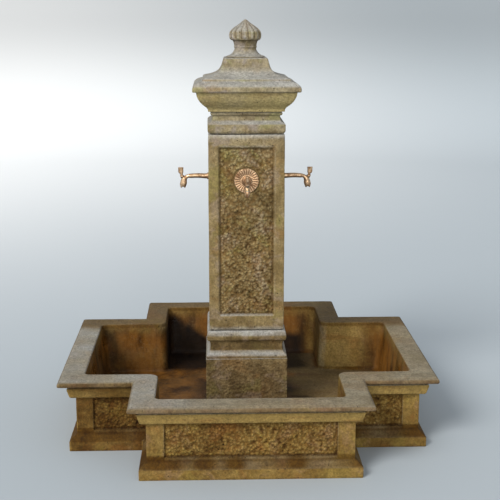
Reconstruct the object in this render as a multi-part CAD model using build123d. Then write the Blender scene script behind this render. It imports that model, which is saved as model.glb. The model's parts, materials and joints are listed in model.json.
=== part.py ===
from build123d import *
import os

# A stone drinking fountain: a square hollow pillar with a water tap on each side, standing in a
# cross-shaped trough. Millimetres, +Z up, origin at the centre of the base on the ground, front is -Y.

# Trough: half lengths of an arm (A) and half widths of an arm (B)
RIM_A, RIM_B = 710.0, 432.5
RIM_TOP = 284.0
FASCIA_BOTTOM = 262.0
RIM_ARRIS = 11.0
LEDGE = 94.0
WALL_INSET = 62.0
PLINTH_INSET = 35.0
PLINTH_TOP = 38.0
SLOPE_TOP = 62.0
BAND_BOTTOM, BAND_TOP = 208.0, 248.0
BAND_INSET_LOW, BAND_INSET_TOP = 41.0, 31.0
GROOVE_INSET = 39.0
FLOOR_TOP = 68.0
POOL_DRAFT_END, POOL_DRAFT_SIDE = 21.0, 4.5
POOL_CORNER = 35.0
PILASTER = 64.0
TROUGH_PANEL_DEPTH = 9.0
TROUGH_PANEL_LOW, TROUGH_PANEL_TOP = 74.0, 199.0

# Pockets under the trough floor
POCKET_TOP = 30.0
SUPPLY_POCKET = 180.0
WASTE_POCKET = 150.0
FLOOR_HOLE_ROOM = 1.0

# Pillar
PAD = 3.0
LIFT_GAP = 0.3
PEDESTAL_HALF = 161.0
PEDESTAL_BOTTOM = FLOOR_TOP + PAD
PEDESTAL_TOP = 392.0
COLUMN_HALF = 146.0
COLUMN_BOTTOM = PEDESTAL_TOP + PAD
COLUMN_TOP = 1162.0
COLUMN_ARRIS = 4.0
CORE_HALF = 75.0
CORE_CORNER = 15.0
PANEL_HALF = 109.0
PANEL_LOW, PANEL_TOP = 452.0, 1116.0
PANEL_DEPTH = 11.0
PANEL_BEVEL = 8.0
CAP_BOTTOM = COLUMN_TOP + PAD
CAP_TOP = 1446.0
CAP_POCKET_TOP = 1360.0
FINIAL_TIP = 1590.0

# Dowels and pads
DOWEL_AT = 111.0
COLUMN_DOWEL_R = 8.0
CAP_DOWEL_R = 6.0
CAP_DOWEL_CLEARANCE = 1.0
COLUMN_DOWEL_LOW, COLUMN_DOWEL_HIGH = COLUMN_BOTTOM - 53, COLUMN_BOTTOM + 50
CAP_DOWEL_LOW, CAP_DOWEL_HIGH = COLUMN_TOP - 50, COLUMN_TOP + 33
STUD_R = 6.0
STUD_HIGH = CAP_TOP + 60
FINIAL_NUT_THICK = 10.0
FINIAL_WASHER_THICK = 3.0
PAD_AT = 110.0
PAD_LONG, PAD_WIDE = 44.0, 30.0

# Taps: distances are outwards from the pillar's axis, heights are from the tap's centre line
TAP_Z = 985.0
PANEL_FACE = COLUMN_HALF - PANEL_DEPTH
SEAL = 1.5
ROSETTE_R = 47.6
ROSETTE_THICK = 9.0
TAIL_R = 10.48
TAIL_END = 53.0
THREAD_ALLOWANCE = 0.05
ARM_R = 9.5
ARM_BEND_START = 224.0
ARM_BEND_R = 22.0
VALVE_AXIS = 250.0
WATERWAY_R = 5.5
CHAMBER_R = 7.0
MOUTH_R = 5.8
SEAT_BOTTOM, SEAT_TOP = -26.0, -22.5
CHAMBER_TOP = -10.0
BOSS_TOP = -3.0
NOZZLE_MOUTH = -47.0
MOUTH_LEAN = -3.0
# Nozzle sections: height, half width outwards, half width sideways, lean
NOZZLE_SECTIONS = [
    (-12, 9.5, 9.5, 0),
    (-22, 12, 10, -1),
    (-32, 13, 10, -2.5),
    (-40, 12, 9, MOUTH_LEAN),
    (NOZZLE_MOUTH, 10.5, 8, MOUTH_LEAN),
]
SPINDLE_R = 3.0
KEY_BOTTOM = BOSS_TOP + 6.3
KEY_TOP = 34.0
# Key sections: height, half width outwards, half width sideways, lean
KEY_SECTIONS = [
    (KEY_BOTTOM + 3, 4.8, 4.8, 0),
    (KEY_BOTTOM + 9, 9.6, 5.5, 3),
    (KEY_TOP - 6, 10, 5.8, 3),
    (KEY_TOP, 10.8, 6.5, 3),
]
GAP = 0.3

# Pipework
RISER_R = 11.0
BRANCH_R = 7.5
PIPE_WALL = 1.0
RISER_FOOT = FLOOR_TOP + 12
VALVE_Z = 890.0
BALL_R = 14.0
STEM_R = 5.0
STEM_CLEARANCE = 0.05
CLIP_HEIGHTS = (500.0, 760.0)
CLIP_BOLT_R = 3.0
SUPPLY_THREAD_R = 13.2
SUPPLY_SHANK_R = 13.6
SUPPLY_TAIL_TOP = 20.0
WASTE_Y = 300.0
WASTE_THREAD_R = 20.0
WASTE_SHANK_R = 20.6
WASTE_TAIL_TOP = 18.0
TAIL_BOTTOM = 4.0
GASKET = 2.0
SUPPLY_FLANGE_R = 24.0
WASTE_FLANGE_R = 35.0
FLANGE_THICK = 5.0
STANDPIPE_R = 15.6
STANDPIPE_WALL = 1.6
STANDPIPE_BOTTOM = 50.0
OVERFLOW_LEVEL = 235.0
STRAINER_R = 21.0
STRAINER_WALL = 3.0

# Outlines of the square stones: (half width, height), or an arc's (middle, end)
PEDESTAL_OUTLINE = [
    (PEDESTAL_HALF, PEDESTAL_BOTTOM),
    (PEDESTAL_HALF, 278),
    (159, 281),
    (159, 292),
    (153, 305, 142, 310),
    (142, 348),
    (153, 352),
    (156, 371, 150, 388),
    (148, PEDESTAL_TOP),
]
CAP_OUTLINE = [
    (143, CAP_BOTTOM),
    (148, 1174),
    (148, 1200),
    (143, 1206),
    (131, 1212, 128, 1233),
    (134, 1233),
    (138, 1240, 134, 1247),
    (145.5, 1248),
    (145.5, 1258),
    (150, 1265),
    (171, 1285, 186, 1316),
    (189, 1324),
    (203.4, 1324),
    (202.5, 1342),
    (191, 1354, 167, 1361.5),
    (165.5, 1370.5),
    (140, 1376, 119, 1384),
    (101, 1396, 92, 1412),
    (86, 1428, 82, CAP_TOP),
]

# The finial's outline: (radius, height above the cap), or an arc's (middle, end)
FINIAL_OUTLINE = [
    (76, 0),
    (76, 6),
    (58, 14, 50, 25),
    (42, 36, 46, 50),
    (49, 58, 48, 64),
    (58, 68, 63, 80),
    (61, 98, 50, 110),
    (27, 125.5, 7, FINIAL_TIP - CAP_TOP),
]

SIDES = {"right": 0, "rear": 90, "left": 180, "front": 270}


def save(node, shape):
    """Writes one sub-part, or a group of identical ones, as one file."""
    shape.label = node
    export_step(shape, f"parts/{node}.step")


def group(solids):
    """Identical separate pieces that share one node."""
    return Compound(children=list(solids))


def on_sides(shape):
    """The shape, modelled on the right side, repeated on all four sides."""
    return [Rot(0, 0, angle) * shape for angle in SIDES.values()]


def corners(half):
    """The four corner places of a square."""
    return [(x, y) for x in (-half, half) for y in (-half, half)]


def upright(radius, low, high, x=0.0, y=0.0):
    """A round bar along Z."""
    return Pos(x, y, (low + high) / 2) * Cylinder(radius, high - low)


def outward(radius, start, end, z=0.0):
    """A round bar along X."""
    return Pos((start + end) / 2, 0, z) * Rot(0, 90, 0) * Cylinder(radius, end - start)


def block(x, y, z):
    """A box between two numbers along each axis."""
    middle = [(low + high) / 2 for low, high in (x, y, z)]
    size = [high - low for low, high in (x, y, z)]
    return Pos(*middle) * Box(*size)


def hexagon(across_flats, low, high, bore):
    """A hexagon nut along Z with a plain bore."""
    nut = extrude(RegularPolygon(across_flats / 2, 6, major_radius=False), high - low)
    return Pos(0, 0, low) * nut - upright(bore, low - 1, high + 1)


def lay_outward(shape):
    """Turns a shape along Z so that it lies along X."""
    return Rot(0, 90, 0) * shape


def moulding(outline):
    """The outline's bar along Y: (half width, z) points, where four numbers are an arc's middle and end."""
    here = outline[0]
    right = []
    for step in outline[1:]:
        there = step[-2:]
        if len(step) == 4:
            right.append(ThreePointArc(here, step[:2], there))
        else:
            right.append(Line(here, there))
        here = there
    left = [mirror(edge, about=Plane.YZ) for edge in right]
    foot = Line((-outline[0][0], outline[0][1]), outline[0])
    head = Line((-here[0], here[1]), here)
    reach = 1.5 * RIM_A
    return extrude(Plane.XZ * make_face([foot, *right, head, *left]), amount=reach, both=True)


def square_stone(outline):
    """A stone of square plan with the same moulded outline on all four sides."""
    bar = moulding(outline)
    return bar & (Rot(0, 0, 90) * bar)


def cross_stone(ends, sides):
    """A stone of cross-shaped plan, with one outline on the ends of its arms and one on their sides."""
    arm = moulding(ends) & (Rot(0, 0, 90) * moulding(sides))
    return arm + Rot(0, 0, 90) * arm


def trough_outline(half):
    """The trough's outside, from the ground up, where half is the rim's half length or half width."""
    plinth = half - PLINTH_INSET
    wall = half - WALL_INSET
    turn = RIM_ARRIS * (1 - 0.5**0.5)
    return [
        (plinth, 0),
        (plinth, PLINTH_TOP),
        (wall, SLOPE_TOP),
        (wall, BAND_BOTTOM),
        (half - BAND_INSET_LOW, BAND_BOTTOM),
        (half - BAND_INSET_TOP, BAND_TOP),
        (half - GROOVE_INSET, BAND_TOP),
        (half - GROOVE_INSET, FASCIA_BOTTOM - 4),
        (half, FASCIA_BOTTOM),
        (half, RIM_TOP - RIM_ARRIS),
        (half - turn, RIM_TOP - turn, half - RIM_ARRIS, RIM_TOP),
    ]


def pool():
    """The water's space: a cross that narrows towards the floor, with rounded upright corners."""
    end, side = RIM_A - LEDGE, RIM_B - LEDGE

    def layer(a, b, z):
        plan = Rectangle(2 * a, 2 * b) + Rectangle(2 * b, 2 * a)
        return Pos(0, 0, z) * fillet(plan.vertices(), POOL_CORNER)

    low = layer(end - POOL_DRAFT_END, side - POOL_DRAFT_SIDE, FLOOR_TOP)
    high = layer(end, side, RIM_TOP)
    return loft([low, high], ruled=True)


def trough_panels():
    """The recesses of the right arm: its end between corner pilasters, and both sides up to the corners."""
    end = RIM_A - WALL_INSET
    side = RIM_B - WALL_INSET
    height = (TROUGH_PANEL_LOW, TROUGH_PANEL_TOP)
    end_half = side - PILASTER
    recess = block((end - TROUGH_PANEL_DEPTH, end + 1), (-end_half, end_half), height)
    along = (side - TROUGH_PANEL_DEPTH, end - PILASTER)
    for low, high in ((side - TROUGH_PANEL_DEPTH, side + 1), (-side - 1, TROUGH_PANEL_DEPTH - side)):
        recess += block(along, (low, high), height)
    return recess


def make_basin():
    stone = cross_stone(trough_outline(RIM_A), trough_outline(RIM_B)) - pool()
    for panels in on_sides(trough_panels()):
        stone -= panels
    for size, y in ((SUPPLY_POCKET, 0), (WASTE_POCKET, WASTE_Y)):
        stone -= block((-size / 2, size / 2), (y - size / 2, y + size / 2), (-1, POCKET_TOP))
    stone -= upright(SUPPLY_SHANK_R + FLOOR_HOLE_ROOM, 0, RIM_TOP)
    stone -= upright(WASTE_SHANK_R + FLOOR_HOLE_ROOM, 0, RIM_TOP, y=WASTE_Y)
    return stone


def core(low, high):
    """The hollow that the pipes pass through."""
    plan = RectangleRounded(2 * CORE_HALF, 2 * CORE_HALF, CORE_CORNER)
    return Pos(0, 0, low) * extrude(plan, high - low)


def make_pedestal():
    stone = square_stone(PEDESTAL_OUTLINE) - core(0, COLUMN_TOP)
    for x, y in corners(DOWEL_AT):
        stone -= upright(COLUMN_DOWEL_R, COLUMN_DOWEL_LOW, COLUMN_TOP, x, y)
    return stone


def column_panel():
    """The bevelled recess in the right face of the column."""
    height = PANEL_TOP - PANEL_LOW
    mouth = Rectangle(2 * PANEL_HALF, height)
    bed = Rectangle(2 * (PANEL_HALF - PANEL_BEVEL), height - 2 * PANEL_BEVEL)
    middle = (PANEL_LOW + PANEL_TOP) / 2
    face = Plane(origin=(COLUMN_HALF, 0, middle), x_dir=(0, 1, 0), z_dir=(1, 0, 0))
    back = Plane(origin=(PANEL_FACE, 0, middle), x_dir=(0, 1, 0), z_dir=(1, 0, 0))
    return loft([back * bed, face * mouth], ruled=True)


def make_column():
    stone = block((-COLUMN_HALF, COLUMN_HALF), (-COLUMN_HALF, COLUMN_HALF), (COLUMN_BOTTOM, COLUMN_TOP))
    stone = fillet(stone.edges().filter_by(Axis.Z), COLUMN_ARRIS)
    stone -= core(0, COLUMN_TOP + 1)
    for panel in on_sides(column_panel()):
        stone -= panel
    for hole in on_sides(outward(TAIL_R + 2, CORE_HALF - 1, COLUMN_HALF, TAP_Z)):
        stone -= hole
    for x, y in corners(DOWEL_AT):
        stone -= upright(COLUMN_DOWEL_R, COLUMN_BOTTOM - 1, COLUMN_DOWEL_HIGH, x, y)
        stone -= upright(CAP_DOWEL_R, CAP_DOWEL_LOW, COLUMN_TOP + 1, x, y)
    for bolt in clip_bolts():
        stone -= bolt
    return stone


def make_cap():
    stone = square_stone(CAP_OUTLINE) - core(0, CAP_POCKET_TOP)
    stone -= upright(STUD_R + 1, CAP_POCKET_TOP - 1, CAP_TOP + 1)
    for x, y in corners(DOWEL_AT):
        stone -= upright(CAP_DOWEL_R + CAP_DOWEL_CLEARANCE, CAP_BOTTOM - 1, CAP_DOWEL_HIGH + 3, x, y)
    return stone


def make_finial():
    here = (FINIAL_OUTLINE[0][0], CAP_TOP)
    edges = [Line((0, CAP_TOP), here)]
    for step in FINIAL_OUTLINE[1:]:
        there = (step[-2], CAP_TOP + step[-1])
        if len(step) == 4:
            edges.append(ThreePointArc(here, (step[0], CAP_TOP + step[1]), there))
        else:
            edges.append(Line(here, there))
        here = there
    edges.append(Line(here, (0, here[1])))
    edges.append(Line((0, here[1]), (0, CAP_TOP)))
    stone = revolve(Plane.XZ * make_face(edges), Axis.Z)
    return stone - upright(STUD_R, CAP_TOP - 1, STUD_HIGH)


def setting_pads(low, thick):
    """Four lead pads that carry the next stone."""
    wide, long = PAD_WIDE / 2, PAD_LONG / 2
    pad = block((PAD_AT - wide, PAD_AT + wide), (-long, long), (low, low + thick))
    return group(on_sides(pad))


def dowels(radius, low, high):
    return group(upright(radius, low, high, x, y) for x, y in corners(DOWEL_AT))


def tap_body():
    """The tap's casting: threaded tail, collar, arm, bend, valve boss and flared nozzle."""
    with BuildPart() as casting:
        with BuildLine(Plane.XZ):
            run = Line((TAIL_END + 90, 0), (ARM_BEND_START, 0))
            JernArc(run @ 1, run % 1, ARM_BEND_R, -90)
        with BuildSketch(Plane.YZ.offset(TAIL_END + 90)):
            Circle(ARM_R)
        sweep()
    collar_start = PANEL_FACE + SEAL + ROSETTE_THICK
    body = casting.part + outward(TAIL_R, TAIL_END, collar_start + 1)
    body += outward(14, collar_start, collar_start + 4)
    bulb = [Pos(VALVE_AXIS + lean, 0, z) * Ellipse(x, y) for z, x, y, lean in NOZZLE_SECTIONS]
    body += loft(bulb)
    body += upright(8, -16, BOSS_TOP, VALVE_AXIS)
    body -= upright(9, BOSS_TOP, ARM_R + 1, VALVE_AXIS)
    mouth = [
        Pos(VALVE_AXIS, 0, SEAT_BOTTOM + 1) * Ellipse(MOUTH_R, MOUTH_R),
        Pos(VALVE_AXIS + MOUTH_LEAN, 0, NOZZLE_MOUTH - 1) * Ellipse(8.5, 6),
    ]
    body -= loft(mouth)
    body -= upright(CHAMBER_R, SEAT_BOTTOM, CHAMBER_TOP, VALVE_AXIS)
    body -= upright(SPINDLE_R + GAP, CHAMBER_TOP - 1, BOSS_TOP - 4, VALVE_AXIS)
    body -= upright(5.5, BOSS_TOP - 5, BOSS_TOP + 1, VALVE_AXIS)
    body -= outward(WATERWAY_R, TAIL_END - 1, ARM_BEND_START)
    port = Pos(ARM_BEND_START - 4, 0, 0) * Rot(0, 123, 0) * Pos(0, 0, 14) * Cylinder(4.5, 28)
    body -= port
    notch = Polyline((-7, NOZZLE_MOUTH - 1), (0, NOZZLE_MOUTH + 7), (7, NOZZLE_MOUTH - 1), close=True)
    vee = extrude(Plane.XZ * make_face(notch), amount=20, both=True)
    return body - Pos(VALVE_AXIS + MOUTH_LEAN, 0, 0) * vee


def rosette():
    """The tap's wall plate: a shallow dish with a raised hub and rim."""
    back = PANEL_FACE + SEAL
    front = back + ROSETTE_THICK
    with BuildSketch(Plane.XY) as half:
        with BuildLine():
            Polyline((back, TAIL_R + 0.2), (back, ROSETTE_R), (back + 4, ROSETTE_R), (back + 5.5, 44))
            ThreePointArc((back + 5.5, 44), (back + 3.6, 31), (front - 1, 18))
            Polyline((front - 1, 18), (front, 16), (front, TAIL_R + 0.2), (back, TAIL_R + 0.2))
        make_face()
    return revolve(half.sketch, Axis.X)


def wall_ring(start, end, outer, bore):
    """A washer on the tap's tail."""
    return outward(outer, start, end) - outward(bore, start - 1, end + 1)


def tail_nut(across_flats, start, end, bore):
    """A nut on the tap's tail."""
    return lay_outward(hexagon(across_flats, start, end, bore))


def coupling_nut():
    """The nut that draws the branch pipe's collar onto the tap's tail."""
    nut = tail_nut(27, 46, 62, BRANCH_R + THREAD_ALLOWANCE)
    return nut - outward(TAIL_R + THREAD_ALLOWANCE, 49, 63)


def branch_pipe():
    pipe = outward(BRANCH_R, 16, 51) + outward(TAIL_R - 0.2, 49, 51)
    return pipe - outward(BRANCH_R - PIPE_WALL, 15, 52)


def spindle():
    """The tap's spindle, with the half disc that uncovers the seat."""
    disc_bottom = SEAT_TOP + GAP
    stem = upright(SPINDLE_R, disc_bottom, KEY_BOTTOM + 9)
    disc = upright(CHAMBER_R - 0.5, disc_bottom, disc_bottom + 4)
    half = disc - block((-20, 0), (-20, 20), (disc_bottom - 1, disc_bottom + 5))
    return Pos(VALVE_AXIS, 0, 0) * (stem + half)


def seat_disc():
    """The fixed seat under the spindle's disc, with its water port."""
    disc = upright(CHAMBER_R, SEAT_BOTTOM, SEAT_TOP)
    port = upright(4.6, SEAT_BOTTOM - 1, SEAT_TOP + 1) & block((0.6, 9), (-9, 9), (-40, 0))
    return Pos(VALVE_AXIS, 0, 0) * (disc - port)


def tap_key():
    """The upright key: a slim neck that widens to a flat paddle, leaning a little outwards."""
    neck = upright(4.8, KEY_BOTTOM, KEY_BOTTOM + 8)
    layers = [Pos(lean, 0, z) * RectangleRounded(2 * x, 2 * y, 3) for z, x, y, lean in KEY_SECTIONS]
    paddle = loft(layers, ruled=True)
    bore = upright(SPINDLE_R, KEY_BOTTOM - 1, KEY_BOTTOM + 9)
    return Pos(VALVE_AXIS, 0, 0) * (neck + paddle - bore)


def gland_nut():
    nut = hexagon(14, BOSS_TOP, BOSS_TOP + 6, SPINDLE_R + GAP)
    return Pos(VALVE_AXIS, 0, 0) * nut


def gland_packing():
    ring = upright(5.5, BOSS_TOP - 5, BOSS_TOP) - upright(SPINDLE_R + GAP, BOSS_TOP - 6, BOSS_TOP + 1)
    return Pos(VALVE_AXIS, 0, 0) * ring


def tap_groups():
    """The small pieces that are the same at every tap."""
    back = PANEL_FACE
    wall = CORE_HALF
    return {
        "wall_seals": wall_ring(back, back + SEAL, 40, TAIL_R + 0.2),
        "backing_washers": wall_ring(wall - 4, wall, 22, TAIL_R + 0.2),
        "lock_nuts": tail_nut(30, wall - 12, wall - 4, TAIL_R + THREAD_ALLOWANCE),
        "coupling_nuts": coupling_nut(),
        "union_washers": wall_ring(51, TAIL_END, TAIL_R - 0.2, BRANCH_R - PIPE_WALL),
        "branch_pipes": branch_pipe(),
        "seat_discs": seat_disc(),
        "gland_packings": gland_packing(),
        "gland_nuts": gland_nut(),
    }


def make_manifold():
    """The cross fitting that shares the riser's water among the four taps."""
    body = Pos(0, 0, TAP_Z) * Sphere(22)
    body += upright(RISER_R + 3, TAP_Z - 40, TAP_Z)
    for port in on_sides(outward(BRANCH_R + 3, 0, 32, TAP_Z)):
        body += port
    body -= Pos(0, 0, TAP_Z) * Sphere(15)
    body -= upright(RISER_R - PIPE_WALL, TAP_Z - 41, TAP_Z)
    body -= upright(RISER_R, TAP_Z - 41, TAP_Z - 22)
    for port in on_sides(outward(BRANCH_R, 16, 33, TAP_Z)):
        body -= port
    return body


def pipe(low, high):
    return upright(RISER_R, low, high) - upright(RISER_R - PIPE_WALL, low - 1, high + 1)


def make_valve_body():
    """The isolating valve's body: a ball chamber on the riser with a neck for the stem towards the rear."""
    body = Pos(0, 0, VALVE_Z) * Sphere(21)
    body += upright(RISER_R + 4, VALVE_Z - 36, VALVE_Z + 36)
    for end in (VALVE_Z - 36, VALVE_Z + 26):
        body += hexagon(32, end, end + 10, RISER_R - PIPE_WALL)
    along_y = Rot(-90, 0, 0)
    neck = along_y * upright(9.5, 0, 29)
    body += Pos(0, 0, VALVE_Z) * neck
    body -= upright(BALL_R + GAP + 0.5, VALVE_Z - 13, VALVE_Z + 13)
    body -= Pos(0, 0, VALVE_Z) * Sphere(BALL_R + GAP + 0.5)
    body -= upright(RISER_R - PIPE_WALL, VALVE_Z - 37, VALVE_Z + 37)
    for end in (VALVE_Z - 37, VALVE_Z + 18):
        body -= upright(RISER_R, end, end + 19)
    return body - Pos(0, 0, VALVE_Z) * along_y * upright(STEM_R + STEM_CLEARANCE, 0, 30)


def make_valve_seats():
    """Two rings that hold the ball from above and below."""
    ring = upright(BALL_R + GAP + 0.4, VALVE_Z + 9, VALVE_Z + 13) - upright(8, VALVE_Z, VALVE_Z + 20)
    ring -= Pos(0, 0, VALVE_Z) * Sphere(BALL_R + GAP)
    lower = Pos(0, 0, 2 * VALVE_Z) * mirror(ring, about=Plane.XY)
    return group([ring, lower])


def make_ball():
    """The ball, open along the pipe, with a slot for the stem's tang."""
    ball = Sphere(BALL_R) - Cylinder(7.5, 40)
    return Pos(0, 0, VALVE_Z) * (ball - block((-2.1, 2.1), (9.9, 20), (-20, 20)))


def make_stem():
    stem = Rot(-90, 0, 0) * upright(STEM_R, 15, 43)
    tang = block((-2, 2), (10, 16), (-4.5, 4.5))
    return Pos(0, 0, VALVE_Z) * (stem + tang)


def make_lever():
    """The lever: upright beside the pipe when the water is on."""
    hub = Rot(-90, 0, 0) * upright(9, 34, 38)
    arm = block((-7, 7), (34, 38), (0, 52))
    tip = Pos(0, 36, 52) * Rot(90, 0, 0) * Cylinder(7, 4)
    bore = Rot(-90, 0, 0) * upright(STEM_R, 30, 40)
    return Pos(0, 0, VALVE_Z) * (hub + arm + tip - bore)


def behind(shape):
    """Turns a shape along Z so that it lies along Y at the isolating valve."""
    return Pos(0, 0, VALVE_Z) * Rot(-90, 0, 0) * shape


def clip_bolts():
    """Hanger bolts that hold the pipe clips to the rear wall of the hollow."""
    bolt = Rot(-90, 0, 0) * upright(CLIP_BOLT_R, CORE_HALF - 15, CORE_HALF + 35)
    return [Pos(0, 0, z) * bolt for z in CLIP_HEIGHTS]


def pipe_clips():
    stalk = Rot(-90, 0, 0) * (upright(6, 12, CORE_HALF - 4) + upright(16, CORE_HALF - 4, CORE_HALF))
    ring = upright(RISER_R + 3, -8, 8)
    bolt_hole = Rot(-90, 0, 0) * upright(CLIP_BOLT_R, CORE_HALF - 15, CORE_HALF + 1)
    clip = ring + stalk - upright(RISER_R, -9, 9) - bolt_hole
    return group(Pos(0, 0, z) * clip for z in CLIP_HEIGHTS)


def floor_fitting(thread, shank, tail_top, flange):
    """A tail below the floor, a shank through it and a flange above its gasket."""
    seat = FLOOR_TOP + GASKET
    body = upright(thread, TAIL_BOTTOM, tail_top) + upright(shank, tail_top, seat)
    return body + upright(flange, seat, seat + FLANGE_THICK)


def make_supply_fitting():
    """The threaded connector that brings the supply up through the trough's floor."""
    top = FLOOR_TOP + GASKET + FLANGE_THICK
    body = floor_fitting(SUPPLY_THREAD_R, SUPPLY_SHANK_R, SUPPLY_TAIL_TOP, SUPPLY_FLANGE_R)
    body += hexagon(34, top, top + 17, 5)
    body -= upright(RISER_R - PIPE_WALL, 3, top + 18)
    return body - upright(RISER_R, RISER_FOOT, top + 18)


def compression_nut(low):
    """A nut round the riser, drawn down on its fitting."""
    return hexagon(30, low, low + 12, RISER_R)


def make_waste_fitting():
    body = floor_fitting(WASTE_THREAD_R, WASTE_SHANK_R, WASTE_TAIL_TOP, WASTE_FLANGE_R)
    return Pos(0, WASTE_Y, 0) * (body - upright(STANDPIPE_R + GAP, 0, RIM_TOP))


def ring_at_waste(outer, bore, low, high):
    return Pos(0, WASTE_Y, 0) * (upright(outer, low, high) - upright(bore, low - 1, high + 1))


def make_standpipe():
    """The overflow pipe that stands in the waste and lifts out to empty the trough."""
    seat = FLOOR_TOP + GASKET + FLANGE_THICK + GAP
    body = upright(STANDPIPE_R, STANDPIPE_BOTTOM, OVERFLOW_LEVEL) + upright(STRAINER_R + 1, seat, seat + 6)
    bore = upright(STANDPIPE_R - STANDPIPE_WALL, STANDPIPE_BOTTOM - 1, OVERFLOW_LEVEL + 1)
    return Pos(0, WASTE_Y, 0) * (body - bore)


def make_strainer():
    """A slotted cap on the standpipe that keeps leaves out."""
    low, high = OVERFLOW_LEVEL - 24, OVERFLOW_LEVEL + 8
    inside = STRAINER_R - STRAINER_WALL
    cap = upright(STRAINER_R, low, high) - upright(inside, low - 1, high - STRAINER_WALL)
    cap += upright(inside + 0.5, low, low + 4)
    cap -= upright(STANDPIPE_R, low - 1, low + 5)
    for step in range(8):
        slot = block((10, 30), (-2, 2), (low + 8, high - 6))
        cap -= Rot(0, 0, step * 45) * slot
    return Pos(0, WASTE_Y, 0) * cap


os.makedirs("parts", exist_ok=True)

save("basin", make_basin())
save("pedestal", make_pedestal())
save("column", make_column())
save("cap", make_cap())
save("finial", make_finial())

save("pedestal_setting_pads", setting_pads(FLOOR_TOP, PAD))
save("column_setting_pads", setting_pads(PEDESTAL_TOP, PAD))
save("cap_setting_pads", setting_pads(COLUMN_TOP, PAD - LIFT_GAP))
save("column_dowels", dowels(COLUMN_DOWEL_R, COLUMN_DOWEL_LOW, COLUMN_DOWEL_HIGH))
save("cap_dowels", dowels(CAP_DOWEL_R, CAP_DOWEL_LOW, CAP_DOWEL_HIGH))
washer_low = CAP_POCKET_TOP - FINIAL_WASHER_THICK
nut_low = washer_low - FINIAL_NUT_THICK
save("finial_stud", upright(STUD_R, nut_low - 5, STUD_HIGH))
save("finial_washer", upright(15, washer_low, CAP_POCKET_TOP) - upright(STUD_R, 0, CAP_TOP))
save("finial_nut", hexagon(19, nut_low, washer_low, STUD_R))

for side, angle in SIDES.items():
    place = Rot(0, 0, angle) * Pos(0, 0, TAP_Z)
    save(f"{side}_tap_body", place * tap_body())
    save(f"{side}_rosette", place * rosette())
    save(f"{side}_spindle", place * spindle())
    save(f"{side}_tap_key", place * tap_key())
for node, piece in tap_groups().items():
    save(node, group(on_sides(Pos(0, 0, TAP_Z) * piece)))

save("manifold", make_manifold())
save("riser_pipe", pipe(VALVE_Z + 18, TAP_Z - 22))
save("lower_riser", pipe(RISER_FOOT, VALVE_Z - 18))
save("stop_valve_body", make_valve_body())
save("stop_valve_seats", make_valve_seats())
save("stop_valve_ball", make_ball())
save("stop_valve_stem", make_stem())
save("stop_valve_gland_nut", behind(hexagon(19, 29, 33, STEM_R + GAP)))
save("stop_valve_lever", make_lever())
save("stop_valve_lever_nut", behind(hexagon(15, 38, 43, STEM_R)))
save("pipe_clips", pipe_clips())
save("clip_bolts", group(clip_bolts()))

save("supply_fitting", make_supply_fitting())
supply_gasket = upright(SUPPLY_FLANGE_R, FLOOR_TOP, FLOOR_TOP + GASKET)
save("supply_gasket", supply_gasket - upright(SUPPLY_SHANK_R, 0, RIM_TOP))
save("supply_back_nut", hexagon(36, POCKET_TOP - 9, POCKET_TOP, SUPPLY_SHANK_R))
nut_places = (FLOOR_TOP + 24, VALVE_Z - 48, VALVE_Z + 36)
save("riser_compression_nuts", group(compression_nut(low) for low in nut_places))

save("waste_fitting", make_waste_fitting())
save("waste_gasket", ring_at_waste(WASTE_FLANGE_R, WASTE_SHANK_R, FLOOR_TOP, FLOOR_TOP + GASKET))
save("waste_back_nut", Pos(0, WASTE_Y, 0) * hexagon(58, POCKET_TOP - 10, POCKET_TOP, WASTE_SHANK_R))
save("overflow_standpipe", make_standpipe())
save("standpipe_strainer", make_strainer())
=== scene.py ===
import json
import math

import bmesh
import bpy
import numpy as np
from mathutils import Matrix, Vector
from mathutils.geometry import delaunay_2d_cdt


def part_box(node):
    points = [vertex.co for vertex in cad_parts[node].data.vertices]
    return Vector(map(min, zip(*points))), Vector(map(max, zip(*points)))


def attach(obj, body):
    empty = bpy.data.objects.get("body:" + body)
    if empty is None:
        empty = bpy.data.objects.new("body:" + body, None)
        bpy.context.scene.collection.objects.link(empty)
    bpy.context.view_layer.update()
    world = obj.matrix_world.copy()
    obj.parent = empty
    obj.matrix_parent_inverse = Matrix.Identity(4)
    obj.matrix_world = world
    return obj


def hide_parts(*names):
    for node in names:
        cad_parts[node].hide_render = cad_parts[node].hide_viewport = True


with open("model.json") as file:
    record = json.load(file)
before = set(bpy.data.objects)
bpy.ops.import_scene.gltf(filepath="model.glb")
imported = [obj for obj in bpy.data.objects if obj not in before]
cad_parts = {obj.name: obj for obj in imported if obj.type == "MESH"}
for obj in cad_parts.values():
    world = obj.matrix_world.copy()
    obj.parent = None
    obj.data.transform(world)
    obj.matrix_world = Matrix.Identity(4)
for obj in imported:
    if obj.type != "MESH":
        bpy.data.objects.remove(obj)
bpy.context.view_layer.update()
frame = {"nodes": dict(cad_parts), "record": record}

MM = 0.001
SIDES = {"right": 0.0, "rear": 90.0, "left": 180.0, "front": 270.0}

# ------------ places read from the CAD frame


def span(node, axis):
    """A node's lowest and highest place along x, y or z, in mm."""
    low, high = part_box(node)
    return low[axis] / MM, high[axis] / MM


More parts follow.
